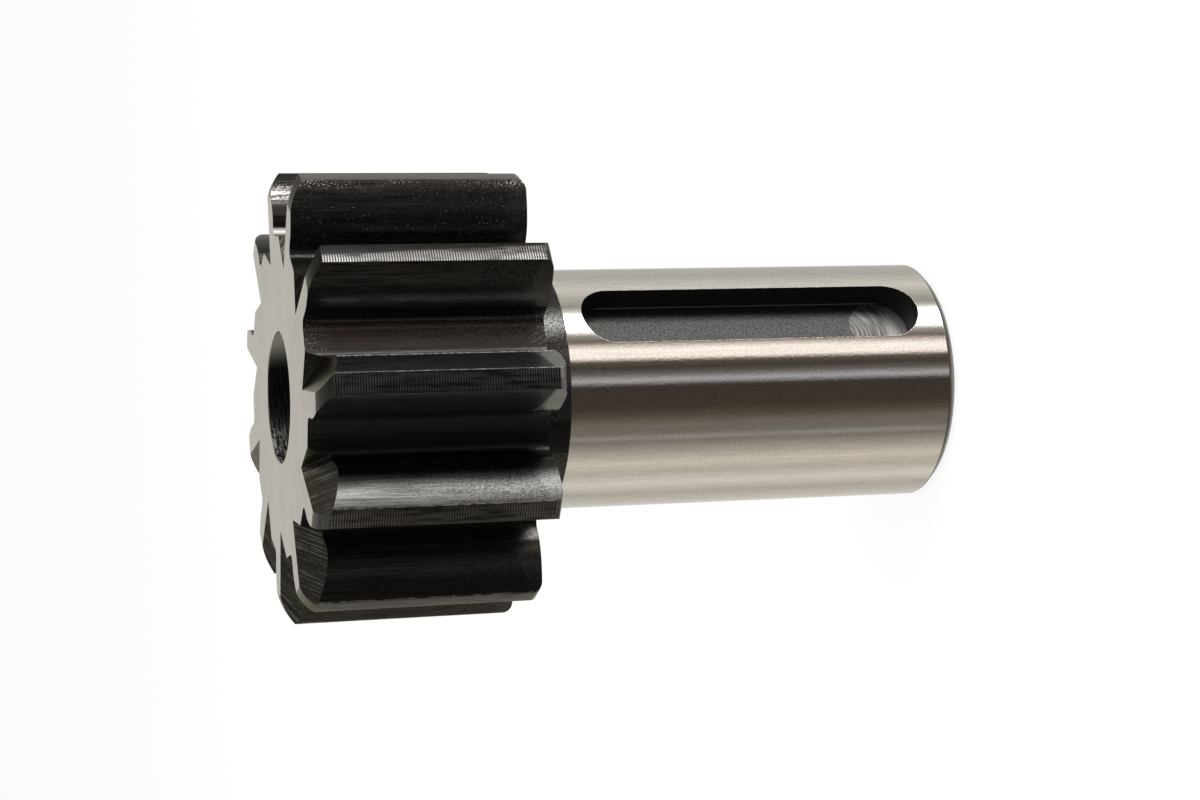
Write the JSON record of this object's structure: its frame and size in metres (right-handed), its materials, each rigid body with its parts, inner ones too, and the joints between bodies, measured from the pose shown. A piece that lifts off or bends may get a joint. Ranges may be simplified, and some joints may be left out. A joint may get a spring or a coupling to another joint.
{
  "type": "starter pinion gear",
  "caption": "One-piece steel starter pinion: involute teeth with milled engagement ramps on a ground, keyed shank with a bore right through.",
  "frame": {"origin": "centre of the shank's end face, on which the part stands", "axes": "+Z along the axis, from the shank's end to the front face of the teeth; +X out through the middle of the keyway"},
  "size_m": [0.0549, 0.0553, 0.083],
  "materials": {
    "oxide_steel": "black-oxide teeth, bright ground shank and front face"
  },
  "bodies": {
    "root": {"starter_pinion": "oxide_steel"}
  },
  "joints": []
}
